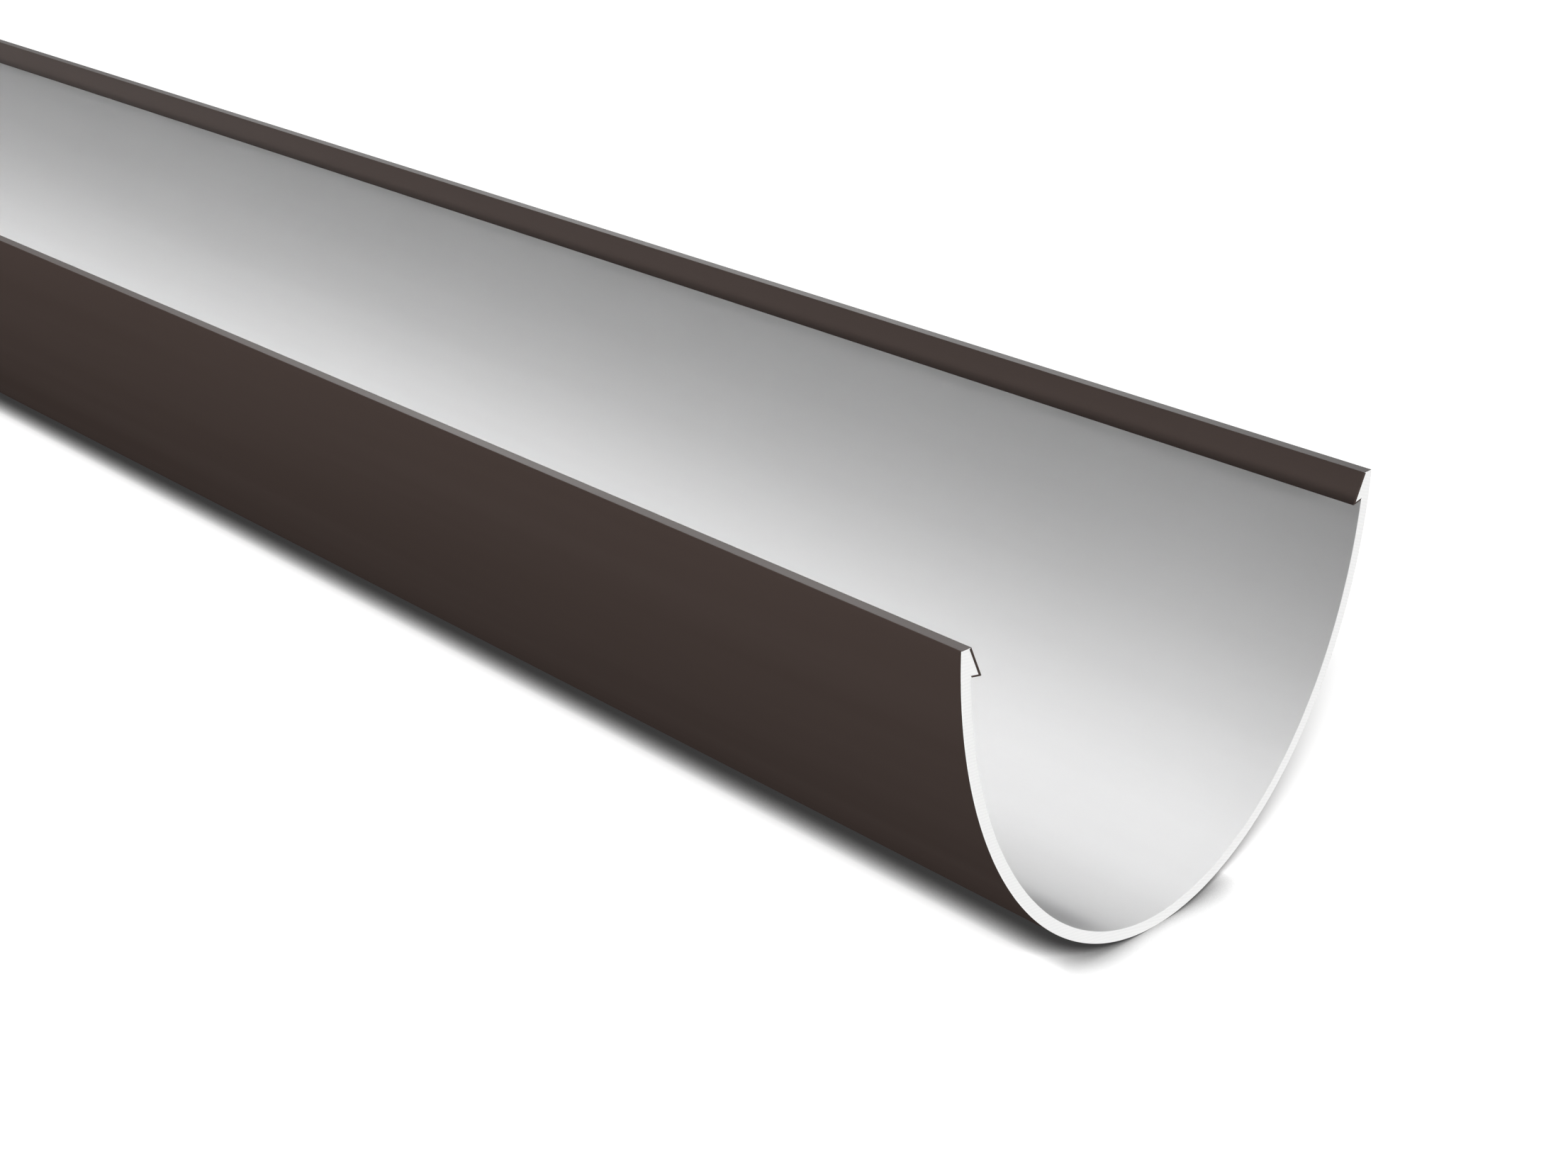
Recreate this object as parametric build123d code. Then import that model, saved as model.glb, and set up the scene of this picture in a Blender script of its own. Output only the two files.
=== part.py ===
from build123d import *
import os

# A half-elliptical rain gutter: one length of extruded PVC, open at the top and at both ends.
# Inside each rim stands a solid bead, a downward hook that brackets and unions clip under.
# The gutter runs along X, lies on its curved bottom at Z = 0, and is centred on X and Y.
# All sizes are in millimetres.

# The stock length, and the section's size over its rims, from bottom to rim, and through its wall.
length = 2000.0
width = 125.0
depth = 83.0
wall = 2.6

# The bead, from the wall's inner face: how far its tip stands in, how far the tip lies
# below the rim, and how much the underside rises from the tip back to the wall.
bead_hook = 3.0
bead_height = 6.6
bead_undercut = 0.6

# The small radii that the die leaves on both edges of the rim, on the tip and under the bead.
rim_radius = 0.15
tip_radius = 0.15
root_radius = 0.3

# The wall lies between two half ellipses, whose common centre is at the height of the rims.
outer_half_width = width / 2
inner_half_width = outer_half_width - wall
inner_depth = depth - wall

# The corners of the right-hand rim, as points in the plane across the gutter.
outer_edge = Vector(outer_half_width, depth)
inner_edge = Vector(inner_half_width, depth)
tip = inner_edge - Vector(bead_hook, bead_height)
root = tip + Vector(bead_hook, bead_undercut)


def wall_profile():
    """The band between the two half ellipses, open at the top."""
    centre = (0, depth)
    outer = EllipticalCenterArc(centre, outer_half_width, depth, start_angle=180, arc_size=180)
    inner = EllipticalCenterArc(centre, inner_half_width, inner_depth, start_angle=180, arc_size=180)
    left_land = Line(outer @ 0, inner @ 0)
    right_land = Line(outer @ 1, inner @ 1)
    return make_face([outer, right_land, inner, left_land])


def bead_profile():
    """The right-hand bead, with its root carried on to the middle of the wall."""
    into_wall = (root - tip) * (wall / 2 / bead_hook)
    middle_of_land = (outer_edge + inner_edge) / 2
    return make_face(Polyline(middle_of_land, inner_edge, tip, root + into_wall, close=True))


def rounded(section, corner, radius):
    """The section with a corner of the right-hand rim and its mirror image rounded."""
    for side in (1, -1):
        vertex = section.vertices().sort_by_distance((side * corner.X, corner.Y))[0]
        section = fillet(vertex, radius)
    return section


def gutter_section():
    """The whole section: the wall, both beads and their small radii."""
    bead = bead_profile()
    section = wall_profile() + bead + mirror(bead, about=Plane.YZ)
    section = rounded(section, outer_edge, rim_radius)
    section = rounded(section, inner_edge, rim_radius)
    section = rounded(section, tip, tip_radius)
    section = rounded(section, root, root_radius)
    return section


def gutter():
    """The section extruded to the stock length, half of it each way from the middle."""
    return extrude(Plane.YZ * gutter_section(), length / 2, both=True)


if __name__ == "__main__":
    os.makedirs("parts", exist_ok=True)
    export_step(gutter(), "parts/gutter.step")
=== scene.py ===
import math
import bpy
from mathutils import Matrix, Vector


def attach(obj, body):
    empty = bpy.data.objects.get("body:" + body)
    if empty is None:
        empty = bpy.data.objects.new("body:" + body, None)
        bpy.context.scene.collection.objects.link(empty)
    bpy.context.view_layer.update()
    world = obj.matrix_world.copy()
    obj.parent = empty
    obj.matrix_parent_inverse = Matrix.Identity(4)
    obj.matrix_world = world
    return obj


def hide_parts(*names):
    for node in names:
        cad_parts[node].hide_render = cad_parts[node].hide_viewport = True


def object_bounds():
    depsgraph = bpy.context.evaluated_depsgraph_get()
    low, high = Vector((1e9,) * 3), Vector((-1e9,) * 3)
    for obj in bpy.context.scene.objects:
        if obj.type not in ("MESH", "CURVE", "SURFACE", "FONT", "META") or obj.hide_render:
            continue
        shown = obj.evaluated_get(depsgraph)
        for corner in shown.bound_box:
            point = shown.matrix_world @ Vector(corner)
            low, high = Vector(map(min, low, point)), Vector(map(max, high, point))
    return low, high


# A length of half-elliptical rain gutter, extruded in white PVC with a brown skin on its outside,
# its rims and its beads. It lies open side up on a white floor. All lengths are in metres.

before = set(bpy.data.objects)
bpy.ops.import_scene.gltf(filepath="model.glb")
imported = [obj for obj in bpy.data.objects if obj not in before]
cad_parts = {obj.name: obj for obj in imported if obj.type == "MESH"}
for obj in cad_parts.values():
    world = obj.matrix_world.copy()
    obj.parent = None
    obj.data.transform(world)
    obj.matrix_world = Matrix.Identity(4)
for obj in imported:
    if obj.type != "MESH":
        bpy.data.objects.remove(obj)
cad_low, cad_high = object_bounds()

# The section: the wall, and the bead that hooks inwards and down from each rim.
WALL = 0.0026
BEAD_HOOK = 0.0030
BEAD_HEIGHT = 0.0066
BEAD_UNDERCUT = 0.0006
RIM_RADIUS = 0.00015
TIP_RADIUS = 0.00015
ROOT_RADIUS = 0.0003
# Where the wall's inside begins below the bead, in root radii.
PAST_ROOT = 1.5

# The sawn ends: the saw's slightly broken edge, and the brown skin that shows round the beads.
BROKEN_EDGE = 0.00005
SLOPE_SKIN = 0.00057
UNDERSIDE_SKIN = 0.0004

# How finely the piece is divided, and the angle up to which its faces are shaded as one.
QUARTER_STEPS = 90
CORNER_STEPS = 6
LENGTH_STEPS = 40
SMOOTH_UNDER = math.radians(30)

# Where the section lies: the right-hand half's semi-axes, outside and inside, hang from the rims.
RIM_Z = cad_high.z
END_X = cad_high.x
OUTER = Vector((cad_high.y, RIM_Z))
INNER = OUTER - Vector((WALL, WALL))

# The mesh's material slots.
BROWN, WHITE, SAWN, BEAD = range(4)


def on_ellipse(semi_axes, angle):
    """The point of a half ellipse hung from rim height, at an angle from the right-hand rim."""
    return Vector((semi_axes.x * math.cos(angle), RIM_Z - semi_axes.y * math.sin(angle)))


def where_line_meets_wall(start, direction):
    """The inner ellipse's angle at which a line from a point inside it meets the wall."""
    p = Vector((start.x / INNER.x, (RIM_Z - start.y) / INNER.y))
    q = Vector((direction.x / INNER.x, -direction.y / INNER.y))
    half_b = p.dot(q)
    reach = (math.sqrt(half_b**2 - q.dot(q) * (p.dot(p) - 1)) - half_b) / q.dot(q)
    hit = p + q * reach
    return math.atan2(hit.y, hit.x)


def rounded_corner(before, corner, after, radius):
    """Points of the arc that rounds the corner between two straight edges."""
    arriving = (corner - before).normalized()
    leaving = (after - corner).normalized()
    turn = -arriving.angle_signed(leaving)
    left = math.copysign(1, turn)
    start = corner - arriving * radius * math.tan(abs(turn) / 2)
    centre = start + Vector((-arriving.y, arriving.x)) * left * radius
    spoke = start - centre
    points = []
    for step in range(CORNER_STEPS + 1):
        angle = turn * step / CORNER_STEPS
        cos, sin = math.cos(angle), math.sin(angle)
        turned = Vector((spoke.x * cos - spoke.y * sin, spoke.x * sin + spoke.y * cos))
        points.append(centre + turned)
    return points


OUTER_EDGE = Vector((OUTER.x, RIM_Z))
INNER_EDGE = Vector((INNER.x, RIM_Z))
BEAD_TIP = INNER_EDGE - Vector((BEAD_HOOK, BEAD_HEIGHT))
UNDERSIDE = Vector((BEAD_HOOK, BEAD_UNDERCUT)).normalized()
ROOT_ANGLE = where_line_meets_wall(BEAD_TIP, UNDERSIDE)
BEAD_ROOT = on_ellipse(INNER, ROOT_ANGLE)


def right_half():
    """The outline's right half, from its lowest point up the outside and back down the inside.

    Each entry is a point and the stretch of the outline that it belongs to.
    """
    quarter = [i / QUARTER_STEPS for i in range(QUARTER_STEPS + 1)]
    below_edge = OUTER_EDGE - Vector((0, WALL))
    below_root = on_ellipse(INNER, ROOT_ANGLE + ROOT_RADIUS / INNER.y)
    outside = [on_ellipse(OUTER, math.pi / 2 * (1 - share)) for share in quarter[:-1]]
    outside += rounded_corner(below_edge, OUTER_EDGE, INNER_EDGE, RIM_RADIUS)
    bead = rounded_corner(OUTER_EDGE, INNER_EDGE, BEAD_TIP, RIM_RADIUS)
    bead += rounded_corner(INNER_EDGE, BEAD_TIP, BEAD_ROOT, TIP_RADIUS)
    root = rounded_corner(BEAD_TIP, BEAD_ROOT, below_root, ROOT_RADIUS)
    bead += root[:CORNER_STEPS // 2]
    first = ROOT_ANGLE + PAST_ROOT * ROOT_RADIUS / INNER.y
    inside = root[CORNER_STEPS // 2:]
    inside += [on_ellipse(INNER, first + (math.pi / 2 - first) * share) for share in quarter]
    stretches = (("outside", outside), ("bead", bead), ("inside", inside))
    return [(point, name) for name, points in stretches for point in points]


def whole_outline():
    """The closed outline, anticlockwise as the +X end shows it, with its stretches."""
    right = right_half()
    left = [(Vector((-p.x, p.y)), name) for p, name in reversed(right[1:-1])]
    return right + left


def inset(points, distance):
    """The closed outline moved inwards."""
    moved = []
    for i, point in enumerate(points):
        along = (points[(i + 1) % len(points)] - points[i - 1]).normalized()
        moved.append(point + Vector((-along.y, along.x)) * distance)
    return moved


def skin_line(side):
    """Where the bead's skin ends on the sawn face, from the rim's inner edge to the bead's root."""
    slope = (BEAD_TIP - INNER_EDGE).normalized()
    into_bead = Vector((-slope.y, slope.x))
    tip_sine = math.sin(slope.angle(UNDERSIDE))
    line = [
        INNER_EDGE + into_bead * SLOPE_SKIN,
        BEAD_TIP + (UNDERSIDE * SLOPE_SKIN - slope * UNDERSIDE_SKIN) / tip_sine,
        BEAD_TIP + UNDERSIDE * BEAD_HOOK + Vector((0, UNDERSIDE_SKIN)),
    ]
    return [Vector((p.x * side, p.y)) for p in line]


def side_material(here, there, broken):
    """The material between two neighbouring points of the outline, given their stretches."""
    if here == there == "inside":
        return WHITE
    if "bead" in (here, there):
        return BEAD
    return SAWN if broken else BROWN


def sides(rings, stretches):
    """The faces between each ring of points and the next, and their materials."""
    count = len(stretches)
    faces = []
    kinds = []
    for ring in range(rings - 1):
        near, far = ring * count, (ring + 1) * count
        broken = ring in (0, rings - 2)
        for i in range(count):
            j = (i + 1) % count
            faces.append((near + i, near + j, far + j, far + i))
            kinds.append(side_material(stretches[i], stretches[j], broken))
    return faces, kinds


def sawn_end(first, stretches, right_line, left_line):
    """One end's three faces, as loops of point numbers: the white core, and each bead's skin."""
    bead = [first + i for i, name in enumerate(stretches) if name == "bead"]
    half = len(bead) // 2
    right_bead, left_bead = bead[:half], bead[half:]
    core = list(range(first, right_bead[0] + 1)) + right_line
    core += list(range(right_bead[-1], left_bead[0] + 1)) + left_line
    core += list(range(left_bead[-1], first + len(stretches)))
    return core, right_bead + right_line[::-1], left_bead + left_line[::-1]


def build_gutter(materials):
    points, stretches = zip(*whole_outline())
    full = [(END_X - BROKEN_EDGE) * (2 * i / LENGTH_STEPS - 1) for i in range(LENGTH_STEPS + 1)]
    sawn = inset(points, BROKEN_EDGE)
    rings = [(-END_X, sawn)] + [(x, points) for x in full] + [(END_X, sawn)]
    vertices = [(x, p.x, p.y) for x, ring in rings for p in ring]
    faces, kinds = sides(len(rings), stretches)
    for x, first in ((-END_X, 0), (END_X, len(vertices) - len(points))):
        lines = []
        for line in (skin_line(1), skin_line(-1)[::-1]):
            lines.append(list(range(len(vertices), len(vertices) + len(line))))
            vertices += [(x, p.x, p.y) for p in line]
        for loop, kind in zip(sawn_end(first, stretches, *lines), (SAWN, BROWN, BROWN)):
            faces.append(loop if x > 0 else loop[::-1])
            kinds.append(kind)

    mesh = bpy.data.meshes.new("gutter_profile")
    mesh.from_pydata(vertices, [], faces)
    for material in materials:
        mesh.materials.append(material)
    mesh.polygons.foreach_set("material_index", kinds)
    mesh.shade_smooth()
    mesh.set_sharp_from_angle(angle=SMOOTH_UNDER)
    piece = bpy.data.objects.new("gutter_profile", mesh)
    bpy.context.scene.collection.objects.link(piece)
    # Normals weighted by area keep the rims' flat tops flat beside their small radii.
    piece.modifiers.new("weighted_normals", "WEIGHTED_NORMAL").keep_sharp = True
    return piece


# The materials. Colours are linear, and each pair is the darker and the lighter end of a faint
# variation. Scales are cycles in a metre, along the gutter and across its section.
BROWN_COLOURS = ((0.060, 0.044, 0.0385), (0.066, 0.049, 0.0435))
WHITE_COLOURS = ((0.820, 0.820, 0.820), (0.840, 0.840, 0.840))
SAWN_COLOURS = ((0.870, 0.870, 0.865), (0.900, 0.900, 0.895))
STREAKS = (3, 90)
STREAK_DETAIL = 3
CLOUDS = (12, 40)
CLOUD_DETAIL = 2
DIE_LINES = (1.5, 1600)
DIE_LINE_DETAIL = 4
DIE_LINE_HEIGHT = 0.000004
SAW_TOOTH_PITCH = 0.0007
SAW_MARK_HEIGHT = 0.00001
SAW_MARK_WANDER = 2
SAW_BLADE_CENTRE = (0, 0.09, 0.30)

# The finishes, each a roughness and a specular level, and how far the gloss varies.
MATT = (0.6, 0)
DULL = (0.6, 0.04)
SATIN = (0.36, 0.09)
SAWN_FINISH = (0.65, 0.3)
FLOOR_FINISH = (0.9, 0)
GLOSS_VARIATION = 0.04

# The middle of a noise's range, over which colour and gloss run from one end to the other.
NOISE_LOW = 0.3
NOISE_HIGH = 0.7
# The distance from ring to ring of Blender's wave texture at a scale of 1.
WAVE_PITCH = math.pi / 10


def start_material(name, finish):
    material = bpy.data.materials.new(name)
    material.use_nodes = True
    shader = material.node_tree.nodes["Principled BSDF"]
    roughness, specular = finish
    shader.inputs["Roughness"].default_value = roughness
    shader.inputs["Specular IOR Level"].default_value = specular
    return material, material.node_tree.nodes, material.node_tree.links, shader


def noise(nodes, links, scale, detail):
    """Noise in the object's own space, stretched along the gutter."""
    along, across = scale
    place = nodes.new("ShaderNodeTexCoord")
    mapping = nodes.new("ShaderNodeMapping")
    mapping.inputs["Scale"].default_value = (along, across, across)
    texture = nodes.new("ShaderNodeTexNoise")
    texture.inputs["Scale"].default_value = 1
    texture.inputs["Detail"].default_value = detail
    links.new(place.outputs["Object"], mapping.inputs["Vector"])
    links.new(mapping.outputs["Vector"], texture.inputs["Vector"])
    return texture.outputs["Fac"]


def vary_colour(nodes, links, shader, source, colours):
    """Run the base colour from the first to the second over the middle of the source."""
    ramp = nodes.new("ShaderNodeValToRGB")
    stops = ramp.color_ramp.elements
    for stop, position, colour in zip(stops, (NOISE_LOW, NOISE_HIGH), colours):
        stop.position = position
        stop.color = (*colour, 1)
    links.new(source, ramp.inputs["Fac"])
    links.new(ramp.outputs["Color"], shader.inputs["Base Color"])


def vary_roughness(nodes, links, shader, source, middle):
    span = nodes.new("ShaderNodeMapRange")
    span.inputs["From Min"].default_value = NOISE_LOW
    span.inputs["From Max"].default_value = NOISE_HIGH
    span.inputs["To Min"].default_value = middle - GLOSS_VARIATION
    span.inputs["To Max"].default_value = middle + GLOSS_VARIATION
    links.new(source, span.inputs["Value"])
    links.new(span.outputs["Result"], shader.inputs["Roughness"])


def raise_by(nodes, links, shader, source, height):
    bump = nodes.new("ShaderNodeBump")
    bump.inputs["Distance"].default_value = height
    links.new(source, bump.inputs["Height"])
    links.new(bump.outputs["Normal"], shader.inputs["Normal"])


def extruded_pvc(name, colours, finish):
    """PVC as it leaves the die: faint long streaks, slightly uneven gloss and very fine lines."""
    material, nodes, links, shader = start_material(name, finish)
    streaks = noise(nodes, links, STREAKS, STREAK_DETAIL)
    vary_colour(nodes, links, shader, streaks, colours)
    clouds = noise(nodes, links, CLOUDS, CLOUD_DETAIL)
    vary_roughness(nodes, links, shader, clouds, finish[0])
    die_lines = noise(nodes, links, DIE_LINES, DIE_LINE_DETAIL)
    raise_by(nodes, links, shader, die_lines, DIE_LINE_HEIGHT)
    return material


def sawn_pvc(name, colours):
    """The sawn end: rough, with the shallow arcs that a circular blade leaves."""
    material, nodes, links, shader = start_material(name, SAWN_FINISH)
    place = nodes.new("ShaderNodeTexCoord")
    mapping = nodes.new("ShaderNodeMapping")
    mapping.inputs["Location"].default_value = SAW_BLADE_CENTRE
    arcs = nodes.new("ShaderNodeTexWave")
    arcs.wave_type = "RINGS"
    arcs.rings_direction = "X"
    arcs.inputs["Scale"].default_value = WAVE_PITCH / SAW_TOOTH_PITCH
    arcs.inputs["Distortion"].default_value = SAW_MARK_WANDER
    links.new(place.outputs["Object"], mapping.inputs["Vector"])
    links.new(mapping.outputs["Vector"], arcs.inputs["Vector"])
    vary_colour(nodes, links, shader, arcs.outputs["Fac"], colours)
    raise_by(nodes, links, shader, arcs.outputs["Fac"], SAW_MARK_HEIGHT)
    return material


# The materials are in the order of the slots. The brown skin is matt outside, where a satin one
# would mirror the white floor, and satin on the rims and beads.
gutter = build_gutter((
    extruded_pvc("brown_pvc", BROWN_COLOURS, MATT),
    extruded_pvc("white_pvc", WHITE_COLOURS, DULL),
    sawn_pvc("sawn_pvc", SAWN_COLOURS),
    extruded_pvc("satin_brown_pvc", BROWN_COLOURS, SATIN),
))
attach(gutter, "root")
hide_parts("gutter")

# The floor: the camera and reflections see it white, with the gutter's shadow, which a lamp casts
# and which is painted in close round where the gutter rests. It scatters little light back at the
# brown skin, whose colour would wash out.
FLOOR_HALF = 20
FLOOR_WHITE = 0.98
FLOOR_BOUNCE = 0.18
SHADOW_LIFT = 0.04
# How far from what touches the floor, and how strongly, its colour is darkened as painted shade.
PAINTED_SHADE_REACH = 0.007
PAINTED_SHADE_DEPTH = 1.6
PAINTED_SHADE_SAMPLES = 4


def seen_directly(nodes, links):
    """1 for what the camera, a reflection or a clear piece shows, and 0 for scattered light."""
    light_path = nodes.new("ShaderNodeLightPath")
    seen = light_path.outputs["Is Camera Ray"]
    for ray in ("Is Glossy Ray", "Is Transmission Ray"):
        either = nodes.new("ShaderNodeMath")
        either.operation = "MAXIMUM"
        links.new(seen, either.inputs[0])
        links.new(light_path.outputs[ray], either.inputs[1])
        seen = either.outputs["Value"]
    return seen


def floor_material():
    material, nodes, links, shader = start_material("floor_white", FLOOR_FINISH)
    seen = seen_directly(nodes, links)
    colour = nodes.new("ShaderNodeMapRange")
    colour.inputs["To Min"].default_value = FLOOR_BOUNCE
    links.new(seen, colour.inputs["Value"])
    # Painted shade: the floor's colour darkens close by what touches it, by ambient occlusion, out
    # of every lamp's shadow too.
    painted_shade = nodes.new("ShaderNodeAmbientOcclusion")
    painted_shade.samples = PAINTED_SHADE_SAMPLES
    painted_shade.inputs["Distance"].default_value = PAINTED_SHADE_REACH
    deeper = nodes.new("ShaderNodeMath")
    deeper.operation = "POWER"
    deeper.inputs[1].default_value = PAINTED_SHADE_DEPTH
    shaded_white = nodes.new("ShaderNodeMath")
    shaded_white.operation = "MULTIPLY"
    shaded_white.inputs[1].default_value = FLOOR_WHITE
    links.new(painted_shade.outputs["AO"], deeper.inputs[0])
    links.new(deeper.outputs["Value"], shaded_white.inputs[0])
    links.new(shaded_white.outputs["Value"], colour.inputs["To Max"])
    links.new(colour.outputs["Result"], shader.inputs["Base Color"])
    lift = nodes.new("ShaderNodeMath")
    lift.operation = "MULTIPLY"
    lift.inputs[1].default_value = SHADOW_LIFT
    links.new(seen, lift.inputs[0])
    links.new(lift.outputs["Value"], shader.inputs["Emission Strength"])
    shader.inputs["Emission Color"].default_value = (1, 1, 1, 1)
    # From below the floor is clear, so that the gutter's underside can be looked at.
    geometry = nodes.new("ShaderNodeNewGeometry")
    clear = nodes.new("ShaderNodeBsdfTransparent")
    either = nodes.new("ShaderNodeMixShader")
    links.new(geometry.outputs["Backfacing"], either.inputs["Fac"])
    links.new(shader.outputs["BSDF"], either.inputs[1])
    links.new(clear.outputs["BSDF"], either.inputs[2])
    links.new(either.outputs["Shader"], nodes["Material Output"].inputs["Surface"])
    return material


def build_floor():
    corners = [(-FLOOR_HALF, -FLOOR_HALF), (FLOOR_HALF, -FLOOR_HALF)]
    corners += [(FLOOR_HALF, FLOOR_HALF), (-FLOOR_HALF, FLOOR_HALF)]
    mesh = bpy.data.meshes.new("floor")
    mesh.from_pydata([(x, y, 0) for x, y in corners], [], [(0, 1, 2, 3)])
    mesh.materials.append(floor_material())
    piece = bpy.data.objects.new("floor", mesh)
    bpy.context.scene.collection.objects.link(piece)
    return piece


floor = build_floor()

# The camera, placed from the end that it looks at and from the height of the rims.
FRAME_WIDTH_PX = 2212
FOCAL_LENGTH_PX = 3435
SENSOR_WIDTH_MM = 36
CAMERA_PAST_END = 0.2548
CAMERA_Y = -0.3484
CAMERA_ABOVE_RIM = 0.1851
CAMERA_YAW = math.radians(46.337)
CAMERA_PITCH = math.radians(24.370)


def build_camera():
    data = bpy.data.cameras.new("camera")
    data.sensor_width = SENSOR_WIDTH_MM
    data.lens = SENSOR_WIDTH_MM * FOCAL_LENGTH_PX / FRAME_WIDTH_PX
    camera = bpy.data.objects.new("camera", data)
    camera.location = (END_X + CAMERA_PAST_END, CAMERA_Y, RIM_Z + CAMERA_ABOVE_RIM)
    camera.rotation_euler = (math.pi / 2 - CAMERA_PITCH, 0, CAMERA_YAW)
    bpy.context.scene.collection.objects.link(camera)
    bpy.context.scene.camera = camera


build_camera()

# The lamps. A strength of 1 lights a surface that faces the lamp to its own colour. Those of the
# gutter and that of the floor are kept apart, as flags and grids do in a studio.
STRIP_ELEVATION = math.radians(60)
STRIP_AIM = 0.017
STRIP_DISTANCE = 0.6
STRIP_WIDTH = 0.08
STRIP_LENGTH = 3.2
STRIP_REACH = 0.055
STRIP_WATTS = 0.53
FAR_BOX_FROM_END = Vector((-0.5, -0.35, 0.045))
FAR_BOX_SIZE = 0.08
FAR_BOX_WATTS = 2.2
SKY = 0.05


def add_lamp(name, kind, energy, lit):
    """A lamp that lights only the given objects; all objects still cast their shadows."""
    data = bpy.data.lights.new(name, kind)
    data.energy = energy
    lamp = bpy.data.objects.new(name, data)
    bpy.context.scene.collection.objects.link(lamp)
    receivers = bpy.data.collections.new(name + "_lights")
    for piece in lit:
        receivers.objects.link(piece)
    lamp.light_linking.receiver_collection = receivers
    return lamp


def add_sun(name, towards, strength, angle, lit):
    lamp = add_lamp(name, "SUN", strength * math.pi, lit)
    lamp.data.angle = math.radians(angle)
    lamp.rotation_euler = Vector(towards).to_track_quat("Z", "Y").to_euler()


def add_strip():
    """A long soft box over the channel, gridded to keep its light off the back wall's top."""
    lamp = add_lamp("strip", "AREA", STRIP_WATTS, [gutter])
    lamp.data.shape = "RECTANGLE"
    lamp.data.size = STRIP_LENGTH
    lamp.data.size_y = STRIP_WIDTH
    lamp.data.spread = 2 * math.atan(STRIP_REACH / STRIP_DISTANCE)
    cos, sin = math.cos(STRIP_ELEVATION), math.sin(STRIP_ELEVATION)
    lamp.location.y = STRIP_AIM * sin - STRIP_DISTANCE * cos
    lamp.location.z = STRIP_AIM * cos + STRIP_DISTANCE * sin
    lamp.rotation_euler.x = math.pi / 2 - STRIP_ELEVATION


def add_far_box():
    """A small soft box for the sawn end that the camera doesn't see.

    It stands low and in front, where the front wall keeps its light out of the channel.
    """
    lamp = add_lamp("far_box", "AREA", FAR_BOX_WATTS, [gutter])
    lamp.data.size = FAR_BOX_SIZE
    lamp.location = Vector((-END_X, 0, 0)) + FAR_BOX_FROM_END
    lamp.rotation_euler = FAR_BOX_FROM_END.to_track_quat("Z", "Y").to_euler()


def add_world():
    """A pale sky that gives little light, but that the camera and reflections see as white."""
    world = bpy.data.worlds.new("world")
    world.use_nodes = True
    nodes, links = world.node_tree.nodes, world.node_tree.links
    background = nodes["Background"]
    background.inputs["Color"].default_value = (1, 1, 1, 1)
    strength = nodes.new("ShaderNodeMath")
    strength.operation = "MAXIMUM"
    strength.inputs[1].default_value = SKY
    links.new(seen_directly(nodes, links), strength.inputs[0])
    links.new(strength.outputs["Value"], background.inputs["Strength"])
    bpy.context.scene.world = world


add_strip()
add_far_box()
# Each sun: where it shines from, its strength, its disc in degrees and what it lights.
add_sun("above", (0, -0.1, 1), 0.08, 20, [gutter])
add_sun("front_fill", (-0.08, -1, 0.044), 0.49, 1, [gutter])
add_sun("end_fill", (0.5, -1, 0.03), 0.055, 20, [gutter])
add_sun("back_fill", (0, 1, 0.044), 0.54, 1, [gutter])
add_sun("end_key", (1, -0.11, 0.12), 0.94, 20, [gutter])
add_sun("rim_sheen", (-0.63, 0.645, 0.42), 0.19, 30, [gutter])
add_sun("floor_key", (0.73, -0.83, 1), 1.5, 15, [floor])
add_world()

bpy.context.scene.view_settings.view_transform = "Standard"
